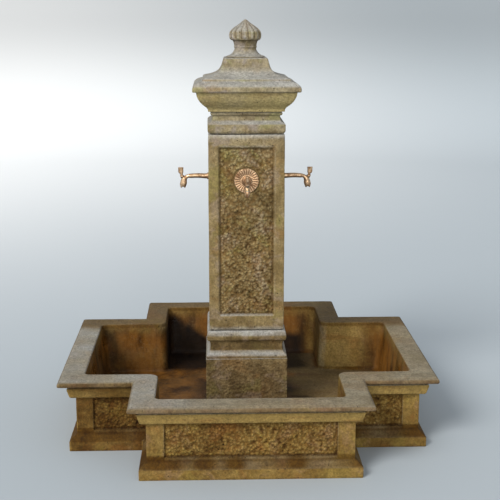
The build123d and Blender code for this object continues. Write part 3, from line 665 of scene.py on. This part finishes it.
def trough_stains(xyz, inset, z, kind):
    """What has settled on the trough at each grid point, and the light and shade painted on it, from each
    row's inset and height.
    """
    x, y = xyz[..., 0], xyz[..., 1]
    inside_wall = inset > LEDGE - 3
    rear_gap = np.hypot(np.abs(x) - CORNER, y - CORNER)
    # painted light: the rear right inner stone is kept from the wet darkening and given the golden wash, as
    # if lit
    painted_lit_stone = smooth(260, 120, rear_gap) * (x > 0) * inside_wall * smooth(375, 345, y)
    # painted light: near the inner corners and on the rear arm's right the wet darkening and the black are
    # lifted, as if lit
    reach = np.where((x > 0) & (y > 0), 250, 170)
    dry_and_lit = smooth(reach, 0.2 * reach, np.hypot(np.abs(x) - CORNER, np.abs(y) - CORNER))
    painted_sun = smooth(280, 325, x) * smooth(280, 325, y) * smooth(560, 480, x)
    dry_and_lit = np.maximum(dry_and_lit * smooth(-500, 100, x - y), 0.85 * painted_sun)
    wet = smooth(RIM_Z + 6, RIM_Z - 70, z) * inside_wall * (1 - 0.9 * dry_and_lit)
    wet = np.clip(wet * (0.95 + 0.35 * noise(xyz, 70, 5)), 0, 1) * (1 - painted_lit_stone)
    soaked_and_shadowed = soaking_and_shadow(xyz) * smooth(RIM_Z - 4, RIM_Z - 30, z) * inside_wall * (1 - dry_and_lit)
    # painted shadow: black in the trough's rear left corner
    soaked_and_shadowed = np.maximum(soaked_and_shadowed, 0.35 * smooth(230, 90, rear_gap) * (x < 0) * inside_wall)
    wash_and_painted_light = 0.8 * smooth(203, 211, z) * smooth(253, 245, z) * (inset < 60)
    wash_and_painted_light = np.maximum(wash_and_painted_light, painted_lit_stone * (0.8 + 0.5 * noise(xyz, 45, 57)))
    slope = smooth(34, 42, z) * smooth(84, 78, z)
    # painted shade: the sides of the arms, mostly at the left, darkened as if shaded by the front arm; the
    # slope's darkening is grime
    shaded = (kind == 1) * smooth(100, -100, x) * ((inset < LEDGE - 30) & (z < 278))
    stain_and_shade = np.clip(0.85 * (slope + np.where(z > PLINTH_TOP, 0.72, 0.70) * shaded), 0, 1)
    stain_and_shade = np.clip(stain_and_shade * (1 + 0.5 * noise(xyz, 55, 17)), 0, 1)
    stain_and_shade = np.maximum(stain_and_shade, (0.12 + 0.5 * smooth(240, 330, y)) * (z > 266))
    bleached = (0.04 + 0.34 * smooth(0, -450, x) * smooth(330, 240, y)) * (1 + 0.6 * noise(xyz, 90, 53))
    bleached = bleached * ((inset > 6) & (inset < LEDGE) & (z > 270))
    bleached = np.clip(bleached + 0.15 * ((inset < 6) & (z > 262)), 0, 1)
    return {"stain_and_shade": stain_and_shade, "bleached": bleached, "wash_and_painted_light": wash_and_painted_light, "wet": wet, "soaked_and_shadowed": soaked_and_shadowed}


def floor_stains(points):
    """The same on the floor, where pale silt has dried in streaks at the right."""
    x = points[:, 0]
    streaks = 0.75 + 0.6 * layered(points * np.array([0.45, 1.7, 1.0]), 90, 49)
    silt = np.clip(smooth(90, 260, x) * streaks, 0, 1)
    wet = np.clip(0.88 + 0.28 * layered(points, 190, 41) - 1.1 * silt, 0, 1)
    soaked_and_shadowed = np.clip(0.9 * soaking_and_shadow(points) + 0.14 * smooth(60, -120, x), 0, 1)
    return {"stain_and_shade": 0 * x + 0.6, "wash_and_painted_light": 0.6 * silt, "wet": wet, "soaked_and_shadowed": soaked_and_shadowed}


def filled(loop, step, seed):
    """A floor inside a loop of points: the loop, then inner points, and triangles facing up."""
    flat = loop[:, :2]
    low, high = flat.min(0), flat.max(0)
    gx, gy = np.meshgrid(np.arange(low[0] + step, high[0], step), np.arange(low[1] + step, high[1], step))
    inner = np.stack([gx.ravel(), gy.ravel()], -1)
    end_wall = np.abs(flat[:, 0]) > high[0] - 2
    a = high[0] - 0.8 * step
    b = np.abs(flat[end_wall][:, 1]).max() + 16 - 0.8 * step
    x, y = np.abs(inner[:, 0]), np.abs(inner[:, 1])
    inside = ((x < a) & (y < b)) | ((x < b) & (y < a))
    corner = 26.0
    for long, wide in ((x, y), (y, x)):
        cut = (long > a - corner) & (wide > b - corner)
        cut &= (long - a + corner) ** 2 + (wide - b + corner) ** 2 > corner**2
        inside &= ~cut
    points = np.concatenate([flat, inner[inside]])
    count = len(flat)
    edges = [(i, (i + 1) % count) for i in range(count)]
    result = delaunay_2d_cdt([Vector(p) for p in points], edges, [], 1, 1e-4)
    if len(result[0]) != len(points):
        raise ValueError("the floor's triangulation merged points")
    z = np.full(len(points), loop[:, 2].mean())
    z[:count] = loop[:, 2]
    place = np.concatenate([points, z[:, None]], -1)
    place[count:, 2] += 1.1 * layered(place[count:], 120, seed) + 0.4 * noise(place[count:], 30, seed + 5)
    faces = []
    for face in result[2]:
        p, q, r = (place[i][:2] for i in face)
        turn = (q[0] - p[0]) * (r[1] - p[1]) - (q[1] - p[1]) * (r[0] - p[0])
        faces.append(tuple(face) if turn > 0 else tuple(face[::-1]))
    return place, faces


def soaking_and_shadow(points):
    """How black the water has left the stone, with painted shadow: in the rear arm, highest at its left where
    a slanting painted shadow falls, and round the pillar.
    """
    x, y, z = points[..., 0], points[..., 1], points[..., 2]
    line = np.where(x < 0, np.maximum(RIM_Z - 24 - 0.75 * (x + CORNER), 130), 160)
    line = line + 14 * noise(points, 60, 45)
    rear = smooth(line + 28, line - 22, z) * smooth(300, 400, y) * smooth(330, 250, x)
    shelter = smooth(250, 170, np.maximum(np.abs(x), np.abs(y))) * smooth(-120, 60, y)
    away = np.hypot(x - 205, y + 60) + 70 * layered(points, 150, 47)
    puddle = smooth(150, 105, away) * smooth(100, 72, z)
    black = np.maximum(1.1 * rear, 0.8 * np.maximum(shelter, puddle))
    return np.clip(black + 0.2 * layered(points, 90, 43), 0, 1)


make_trough()


# ------------ the pillar's stones


def square_stone(name, outline, half, body, replaced, stops, seed, relief=None, closed=True, corner=3.5,
                 wave=0.8, chip=2.4):
    """A square stone from an outline of (inset, height) points that goes up the outside. An outline that
    isn't closed gets a lid at each end."""
    inset, z = outline[:, 0], outline[:, 1]
    halves = np.stack([half - inset, half - inset], -1)
    spread = np.where(inset > 60, 1.0, 0.0) if relief else np.ones(len(z))
    convex = np.minimum(corner, 0.3 * (half - inset))
    sweep = Sweep(SQUARE, halves, z, convex, convex, spread, stops, arc=4, zone=3)
    rows, columns = len(z), len(sweep.columns)
    zero = np.zeros((rows, columns))
    flat = sweep.points(zero)
    painted_shade, pecked = zero, zero
    if relief:
        depth, painted_shade, pecked = relief(sweep, flat, inset, z)
        flat = sweep.points(depth)
    xyz, worn = weathered(flat, closed, seed, wave, chip)
    faces = grid_faces(rows, columns, closed) + ([] if closed else lids(rows, columns))
    under = smooth(1238, 1250, z) * smooth(1326, 1318, z) * (inset < 60)
    lime = limed(z) * (0.75 + 0.5 * noise(xyz, 45, seed + 9))
    values = {"worn": worn, "painted_shade": np.maximum(painted_shade, shade_under_mouldings(z)), "pecked": pecked}
    values |= {"wash_and_painted_light": 0.8 * under[:, None] + zero, "bleached": np.clip(lime, 0, 1)}
    new_piece(name, xyz.reshape(-1, 3), faces, PILLAR, body, replaced, values)


def limed(z):
    """How much lime has settled at each height of the pillar: on the tops of its mouldings."""
    ledges = [(0.35, 284, 293, 298, 306), (0.70, 368, 378, 386, 396)]
    ledges += [(0.12, 1199, 1203, 1208, 1214), (0.25, 1336, 1350, 1380, 1400)]
    bands = [most * smooth(a, b, z) * smooth(d, c, z) for most, a, b, c, d in ledges]
    return np.max(bands, 0)[:, None]


def shade_under_mouldings(z):
    """Painted shade in the pedestal's concave moulding and under its mouldings."""
    moulding_shade = 0.60 * smooth(306, 316, z) * smooth(350, 342, z)
    moulding_shade = np.maximum(moulding_shade, 0.3 * smooth(272, 277, z) * smooth(292, 284, z))
    return np.maximum(moulding_shade, 0.3 * smooth(340, 348, z) * smooth(372, 362, z))[:, None]


def even_stops(reach, step):
    n = max(1, round(2 * reach / step))
    return list(np.linspace(-reach, reach, n + 1))


def make_column():
    low, high = COLUMN_LOW, COLUMN_HIGH
    panel_low, panel_high, panel_half = 452.0, 1116.0, 109.0
    hidden = COLUMN_HALF - CORE
    outer = divided([(2, low), (0, low + 2), (0, panel_low - 8)], 12)
    panel = np.arange(panel_low - 4, panel_high + 5, 3.3)
    panel = np.stack([0 * panel, panel], -1)
    upper = divided([(0, panel_high + 9), (0, high - 2), (2.5, high)], 12)
    inner = divided([(hidden, high - 0.5), (hidden, low + 0.5)], 60)
    outline = np.concatenate([outer, panel, upper, inner])
    fine = list(np.arange(-panel_half + 1.2, panel_half, 3.2))
    edge = [panel_half + 1.2, panel_half + 4, panel_half + 12, panel_half + 22]
    stops = {"end": [-e for e in edge[::-1]] + fine + edge}

    def relief(sweep, flat, inset, z):
        """The sunk, tooled panel, and a flat seat in it behind the tap."""
        on_face = sweep.kind == 0
        wall = (inset < 1)[:, None]
        gap_z = np.minimum(z - panel_low, panel_high - z)[:, None]
        gap = np.where(on_face, np.minimum(panel_half - np.abs(sweep.along), gap_z), -50.0)
        bevel = np.clip(gap / 7.5, 0, 1)
        rough = tooled(flat, 61) * (0.6 + 0.5 * smooth(1060, 640, z))[:, None]
        border = smooth(5, 16, gap)
        groove = 1.6 * np.exp(-((gap - 9) ** 2) / 10)
        depth = wall * (bevel * 9.2 + groove - 0.68 * rough * border * (gap > 0))
        seat = smooth(56, 50, np.hypot(np.where(on_face, sweep.along, 999), (z - TAP_Z)[:, None]))
        depth = depth * (1 - seat) + seat * wall * (COLUMN_HALF - ROSETTE_BACK + 1.0)
        # painted shade in the tooled pits, along the panel's sunk edge and on the seat behind the tap
        painted_shade = wall * np.maximum(smooth(0.2, -2.4, rough) * border, 0.75 * np.exp(-((gap - 8) ** 2) / 14))
        painted_shade = painted_shade * (1 - seat) + 0.6 * seat
        return depth, painted_shade, wall * (1 - seat) * smooth(4, 8, gap)

    square_stone("column_stone", outline, COLUMN_HALF, "fountain", ["column"], stops, 71, relief, corner=4)


def make_pedestal():
    low, high = PEDESTAL_LOW, PEDESTAL_HIGH
    corners = [(1, low, 0), (0, low + 2, 0), (0, 275, 0), (0.2, 279, 2), (3, 281, 1), (3, 292, 1)]
    corners += [(6, 297, 3), (14, 305, 8), (19, 312, 6), (20, 338, 8), (15, 349, 3), (10, 351.5, 3)]
    corners += [(6, 357, 5), (5, 370, 9), (7.5, 384, 8), (12, high - 0.5, 3), (24, high, 0)]
    hidden = PEDESTAL_HALF - CORE
    inner = divided([(hidden, high - 0.3), (hidden, low + 0.3)], 60)
    outline = np.concatenate([divided(softened(corners), 5.5), inner])
    stops = {"end": even_stops(140, 6)}
    square_stone("pedestal_stone", outline, PEDESTAL_HALF, "fountain", ["pedestal"], stops, 81,
                 pedestal_relief, chip=2.0)


def pedestal_relief(sweep, flat, inset, z):
    """The block below the mouldings is lightly pecked."""
    wall = ((inset < 0.5) & (z < 272))[:, None]
    rough = tooled(flat, 91)
    depth = wall * np.clip(0.8 - 0.22 * rough, 0, 3)
    # painted shade in the pecked pits
    painted_shade = wall * 0.6 * smooth(0.4, -3.2, rough)
    return depth, painted_shade, 0.45 * wall + 0 * rough


def make_cap():
    low, high = CAP_LOW, CAP_HIGH
    collar = [(141, low + 0.2, 0), (143, low + 2, 1), (147, low + 8, 2), (148, low + 12, 2), (148, 1199, 2)]
    neck = [(144, 1204, 3), (131, 1212, 8), (128, 1222, 5), (128, 1233, 1), (134, 1234, 2)]
    neck += [(137.5, 1240, 3), (134, 1246, 2), (135, 1248, 1), (145, 1248.6, 1), (145.5, 1258, 1)]
    sweep_out = [(148, 1260, 2), (151, 1265, 4), (163, 1274, 8), (178, 1290, 12), (187, 1310, 8)]
    sweep_out += [(188.5, 1321, 3), (190, 1323.4, 1), (201, 1324, 2), (203.2, 1327, 2), (203.2, 1336, 3)]
    roof = [(200.5, 1345, 4), (191, 1353.5, 6), (178, 1359, 5), (167.5, 1361.5, 1), (165.5, 1363.5, 1)]
    roof += [(165.2, 1370.5, 2), (158, 1373.5, 4), (138, 1378, 8), (119, 1384.5, 8), (103, 1394.5, 8)]
    roof += [(93, 1410, 8), (86.5, 1430, 6), (83.5, high - 3, 2), (80, high, 2), (40, high, 0)]
    corners = [(CAP_HALF - across, z, radius) for across, z, radius in collar + neck + sweep_out + roof]
    pocket = divided([(CAP_HALF - CORE, 1360), (CAP_HALF - CORE, low + 0.4)], 40)
    outline = np.concatenate([pocket, divided(softened(corners), 4.6)])
    square_stone("cap_stone", outline, CAP_HALF, "cap_lift", ["cap"], {"end": even_stops(60, 3.4)}, 101,
                 closed=False, corner=4.5, wave=1.1, chip=2.6)


def make_finial():
    """A flared foot, a cupped neck and a bud with upright ribs that meet at its tip."""
    low, tip = FINIAL_LOW, FINIAL_TIP
    profile = [(75, 0.5), (76, 3), (72, 6), (62, 9), (54, 14), (49, 20), (45, 26), (43, 31), (42.5, 35)]
    profile += [(45.5, 37), (46.5, 39), (44.5, 41), (44, 44), (45.5, 52), (47.5, 59), (49.5, 62), (54, 64)]
    profile += [(59, 67), (62.5, 72), (63.5, 79), (63.5, 88), (62, 96), (57.5, 103), (51, 109.5), (43, 115.5)]
    profile += [(33.5, 121.5), (24, 127.5), (15.5, 134), (9, 139.5), (4.5, 142.8), (1, 144)]
    knots = np.array(profile, float)
    rows, columns, ribs = 110, 168, 14
    travel = np.concatenate([[0], np.cumsum(np.linalg.norm(np.diff(knots, axis=0), axis=1))])
    even = np.linspace(0, travel[-1], rows)
    radius = np.interp(even, travel, knots[:, 0])[:, None]
    height = np.interp(even, travel, knots[:, 1])[:, None] * (tip - low) / knots[-1, 1] + low
    for _ in range(2):
        radius[1:-1] = 0.25 * radius[:-2] + 0.5 * radius[1:-1] + 0.25 * radius[2:]
    angle = np.linspace(0, 2 * math.pi, columns, endpoint=False)[None, :]
    above = (height - low) / (tip - low)
    on_bud = smooth(0.45, 0.50, above) * smooth(1.0, 0.88, above)
    wave = np.abs(np.sin(0.5 * ribs * (angle + 0.10 * above))) ** 0.75
    cup = smooth(0.27, 0.33, above) * smooth(0.45, 0.40, above)
    rib = -4.0 * on_bud * (1 - wave) - 1.6 * cup * (1 - np.abs(np.sin(0.5 * ribs * angle + 0.3)))
    r = radius + rib * radius / 62.0
    xyz = np.stack([r * np.cos(angle), r * np.sin(angle), height + 0 * r], -1)
    shift = np.minimum(0.7 * layered(xyz, 30, 7) + 0.5 * layered(xyz, 9, 8), 0.9) - 0.9
    xyz = xyz + grid_normals(xyz, False) * shift[..., None]
    xyz[:, :, 2] = np.clip(xyz[:, :, 2], low, tip)
    # painted shade between the bud's ribs, in the cup and under the bud
    painted_shade = on_bud * smooth(0.40, 0.05, wave) + cup * 0.35
    painted_shade = np.maximum(painted_shade, 0.5 * smooth(0.47, 0.44, above) * smooth(0.38, 0.44, above))
    values = {"worn": 0.6 * on_bud * smooth(0.8, 1.0, wave), "painted_shade": painted_shade}
    faces = grid_faces(rows, columns, False) + lids(rows, columns)
    new_piece("finial_bud", xyz.reshape(-1, 3), faces, PILLAR, "cap_lift", ["finial"], values)


make_column()
make_pedestal()
make_cap()
make_finial()


# ------------ the taps


def ring(centre, across, out, rx, ry, power=2.0, count=36):
    """A closed ring round a centre, in the plane of two directions."""
    a = np.linspace(0, 2 * math.pi, count, endpoint=False)
    c, s = np.cos(a)[:, None], np.sin(a)[:, None]
    squash = (np.abs(c) ** power + np.abs(s) ** power) ** (-1 / power)
    return np.asarray(centre) + rx * c * squash * np.asarray(across) + ry * s * squash * np.asarray(out)


SIDEWAYS, AHEAD, UP = (0, 1, 0), (1, 0, 0), (0, 0, 1)
ARM_END, BEND_X, BEND_R = 218.0, 220.0, 23.5
NOZZLE_X, MOUTH_Z = 246.4, -46.5


def tap_shell():
    """Collar, tapering arm, bend and flared nozzle with a notched lip, for the right side."""
    start = ROSETTE_FRONT - 2
    rings = []
    for out, r in ((0, 13.0), (4, 13.8), (6.5, 13.2), (7.5, 11.2), (10, 10.4)):
        rings.append(ring((start + out, 0, 0), SIDEWAYS, UP, r, r))
    arm = np.linspace(start + 18, ARM_END, 9)
    for t, x in zip(np.linspace(0, 1, 9), arm):
        r = 9.9 - 1.1 * t
        rings.append(ring((x, 0, 1.4 * math.sin(math.pi * t)), SIDEWAYS, UP, r, r))
    for step in range(1, 13):
        grow = step / 12
        a = math.radians(84) * grow
        x, z = BEND_X + BEND_R * math.sin(a), -BEND_R * (1 - math.cos(a))
        narrow = 1.9 * math.sin(math.pi * min(1, 1.5 * grow))
        wide, deep = 8.8 + 0.6 * grow - narrow, 8.8 + 3.6 * grow**2 - narrow
        rings.append(ring((x, 0, z), SIDEWAYS, (math.sin(a), 0, math.cos(a)), wide, deep))
    nozzle = ((-25.5, 244.2, 13.4, 10), (-29, 244.8, 13.8, 10.2), (-33, 245.4, 13.4, 10))
    nozzle += ((-37.5, 246, 12.2, 9.2), (-41.5, NOZZLE_X, 10.8, 8.4), (-44.5, NOZZLE_X, 9.8, 7.6))
    nozzle += ((MOUTH_Z, NOZZLE_X, 9.0, 6.8),)
    for z, x, deep, wide in nozzle:
        rings.append(ring((x, 0, z), SIDEWAYS, AHEAD, wide, deep))
    for rise, scale in ((0.8, 0.84), (4, 0.78), (15, 0.6)):
        rings.append(ring((NOZZLE_X, 0, MOUTH_Z + rise), SIDEWAYS, AHEAD, 6.8 * scale, 9.0 * scale))
    for r in rings[-10:-2]:
        near = np.exp(-((r[:, 0] - NOZZLE_X) ** 2) / 12)
        r[:, 2] += 6.5 * near * smooth(MOUTH_Z + 14, MOUTH_Z, r[:, 2])
    vertices, faces = lofted(rings)
    # painted shade on the arm's underside
    under = smooth(2, -8, vertices[:, 2]) * smooth(226, 214, vertices[:, 0])
    return vertices, faces, 0.95 * under


def key_shell():
    """A slim neck that swells into a flat-sided paddle with a flared, dished top."""
    low, high = KEY_LOW - TAP_Z, KEY_TOP - TAP_Z
    sections = [(low, 4.9, 4.9, 0, 2), (low + 1, 5.4, 5.4, 0, 2), (low + 2.5, 4.8, 4.6, 0, 2)]
    sections += [(low + 4.5, 5.4, 4.4, 0.6, 2.2), (low + 7, 7.4, 4.6, 1.8, 2.6)]
    sections += [(low + 9.5, 9.2, 5.0, 2.6, 3.0), (low + 13, 9.9, 5.1, 3.0, 3.4)]
    sections += [(high - 7, 9.9, 5.2, 3.0, 3.6), (high - 3, 10.3, 5.8, 3.0, 3.6)]
    sections += [(high - 1, 10.8, 6.4, 3.0, 3.4), (high - 0.2, 10.3, 6.1, 3.0, 3.2)]
    sections += [(high, 9.2, 5.2, 3.0, 3.0), (high - 0.8, 6.8, 3.6, 3.0, 2.6)]
    sections += [(high - 1.6, 3.6, 1.6, 3.0, 2.2)]
    rings = []
    for z, rx, ry, lean, power in sections:
        rings.append(ring((VALVE_AXIS + lean, 0, z), AHEAD, SIDEWAYS, rx, ry, power))
    vertices, faces = lofted(rings)
    # darker at the foot of the neck
    return vertices, faces, 0.5 * smooth(low + 8, low + 2, vertices[:, 2])


def rosette_shell():
    """A sunburst plate: petals with sharp valleys between them, a raised hub and a scalloped rim."""
    petals, count = 26, 208
    angle = np.linspace(0, 2 * math.pi, count, endpoint=False)
    wave = np.abs(np.cos(0.5 * petals * angle))
    thick = ROSETTE_FRONT - ROSETTE_BACK
    profile = [(11, thick - 0.3), (13, thick), (15.5, thick), (17, thick - 0.6), (18.2, 4.6), (19.5, 3.4)]
    profile += [(22, 3.4), (26, 3.9), (30, 4.4), (34, 4.9), (38, 5.2), (41, 5.2), (43.2, 4.9), (44.6, 4.9)]
    profile += [(46, 5.0), (47, 4.4), (ROSETTE_R, 3.0)]
    rings, patina_and_shade = [], []
    for r, high in profile:
        fan = smooth(17.5, 22, r) * smooth(45, 42.5, r)
        x = ROSETTE_BACK + high - fan * 1.5 * (1 - wave**0.8)
        reach = r - smooth(40, 47, r) * 1.5 * (1 - wave)
        rings.append(np.stack([x, reach * np.cos(angle), reach * np.sin(angle)], -1))
        # patina in the petals' valleys; painted shade round the hub where the arm meets the plate
        valleys = smooth(17.5, 21, r) * smooth(46, 43, r) * (1 - wave) ** 0.8
        patina_and_shade.append(np.maximum(valleys, 0.75 * smooth(21, 16, r)))
    edge = rings[-1].copy()
    edge[:, 0] = ROSETTE_BACK
    back = edge.copy()
    back[:, 1:] *= 11 / ROSETTE_R
    rings += [edge, back]
    patina_and_shade += [0 * angle, 0 * angle]
    return np.concatenate(rings), grid_faces(len(rings), count, True), np.concatenate(patina_and_shade)


def make_taps():
    lift = np.array([0, 0, TAP_Z])
    for side, angle in SIDES.items():
        shells = {
            "spout": (tap_shell(), "fountain", "tap_body"),
            "sunburst": (rosette_shell(), "fountain", "rosette"),
            "key_handle": (key_shell(), side + "_key", "tap_key"),
        }
        for label, ((vertices, faces, patina_and_shade), body, node) in shells.items():
            points = turned(vertices + lift, angle)
            replaced = [side + "_" + node]
            values = {"patina_and_shade_amount": patina_and_shade}
            piece = new_piece(side + "_" + label, points, faces, BRONZE, body, replaced, values)
            recalculated(piece)


def recalculated(piece):
    """Turns every face outwards."""
    mesh = bmesh.new()
    mesh.from_mesh(piece.data)
    bmesh.ops.recalc_face_normals(mesh, faces=mesh.faces)
    mesh.to_mesh(piece.data)
    mesh.free()


make_taps()


# ------------ the CAD nodes that stay


def finish_nodes():
    """Gives each CAD node that still shows its finish, and softens the edges of the small fittings."""
    slots = {s["node"]: s["material_slot"] for s in frame["record"]["subparts"]}
    for node, piece in frame["nodes"].items():
        finish = FINISHES.get(slots[node])
        if finish is None:
            continue
        piece.data.materials.clear()
        piece.data.materials.append(finish)
        bevel = piece.modifiers.new("soft_edges", "BEVEL")
        bevel.width = 0.4 * MM
        bevel.segments = 2
        bevel.limit_method = "ANGLE"
        bevel.angle_limit = math.radians(40)


finish_nodes()


# ------------ floor, light and camera


FLOOR_COLOUR = (0.43, 0.475, 0.51)
GLOW_COLOUR = (0.90, 0.91, 0.915)
GLOW_PLACE = (-7.0, 9.0, 2.0)


def make_floor():
    """A round floor that curves up to a low wall all round."""
    flat, reach, high, count = 8.0, 14.0, 2.3, 72
    rings = [(0.5, 0.0), (3.0, 0.0), (flat, 0.0)]
    for step in range(1, 13):
        t = step / 12
        rings.append((flat + (reach - flat) * t, high * t * t))
    points = [(0.0, 0.0, 0.0)]
    for radius, z in rings:
        for k in range(count):
            a = 2 * math.pi * k / count
            points.append((radius * math.cos(a), radius * math.sin(a), z))
    faces = [(0, 1 + k, 1 + (k + 1) % count) for k in range(count)]
    faces += [tuple(i + 1 for i in face[::-1]) for face in grid_faces(len(rings), count, False)]
    mesh = bpy.data.meshes.new("studio_floor")
    mesh.from_pydata(points, [], faces)
    mesh.polygons.foreach_set("use_smooth", [True] * len(mesh.polygons))
    n = Nodes("studio_floor")
    gap = n.add("ShaderNodeVectorMath", {0: n.place(), 1: GLOW_PLACE}, operation="DISTANCE")
    glow = n.ramp(gap.outputs["Value"], 11.3, 4.0)
    # painted shade: the floor darkens as it curves up into its wall; the glow is a painted pool of light
    wall = n.ramp(n.height(), 0.0, 1.6, 1.0, 0.58)
    colour = n.mix(glow, FLOOR_COLOUR, GLOW_COLOUR)
    n.put("Base Color", n.mix(1.0, colour, wall, "MULTIPLY"))
    n.put("Roughness", n.ramp(n.noise(2.0, 2), 0.3, 0.7, 0.85, 0.95))
    n.shader.inputs["Specular IOR Level"].default_value = 0.1
    mesh.materials.append(n.material)
    floor = bpy.data.objects.new("studio_floor", mesh)
    bpy.context.scene.collection.objects.link(floor)


def soft_light(name, turn, height, strength, spread, colour):
    """A distant soft light, from turn degrees right of the front and height degrees up."""
    light = bpy.data.lights.new(name, "SUN")
    light.energy = strength
    light.angle = math.radians(spread)
    light.color = colour
    lamp = bpy.data.objects.new(name, light)
    a, e = math.radians(turn), math.radians(height)
    toward = Vector((math.sin(a) * math.cos(e), -math.cos(a) * math.cos(e), math.sin(e)))
    lamp.rotation_euler = toward.to_track_quat("Z", "Y").to_euler()
    bpy.context.scene.collection.objects.link(lamp)


def make_light():
    soft_light("key", -40, 35, 2.7, 24, (1.0, 0.975, 0.93))
    soft_light("fill", 4, 8, 1.9, 30, (1.0, 0.985, 0.95))
    world = bpy.data.worlds.new("studio")
    world.use_nodes = True
    sky = world.node_tree.nodes["Background"]
    sky.inputs["Color"].default_value = (0.90, 0.95, 1.0, 1)
    sky.inputs["Strength"].default_value = 0.56
    bpy.context.scene.world = world


def make_camera():
    camera = bpy.data.cameras.new("camera")
    camera.sensor_width = 36.0
    camera.lens = 36.0 * 1089.2 / 500.0
    holder = bpy.data.objects.new("camera", camera)
    holder.location = (-0.128, -4.264, 1.606)
    yaw, pitch = math.radians(1.96), math.radians(12.19)
    ahead = Vector((math.sin(yaw) * math.cos(pitch), math.cos(yaw) * math.cos(pitch), -math.sin(pitch)))
    holder.rotation_euler = ahead.to_track_quat("-Z", "Y").to_euler()
    bpy.context.scene.collection.objects.link(holder)
    bpy.context.scene.camera = holder


make_floor()
make_light()
make_camera()
bpy.context.scene.view_settings.view_transform = "Standard"
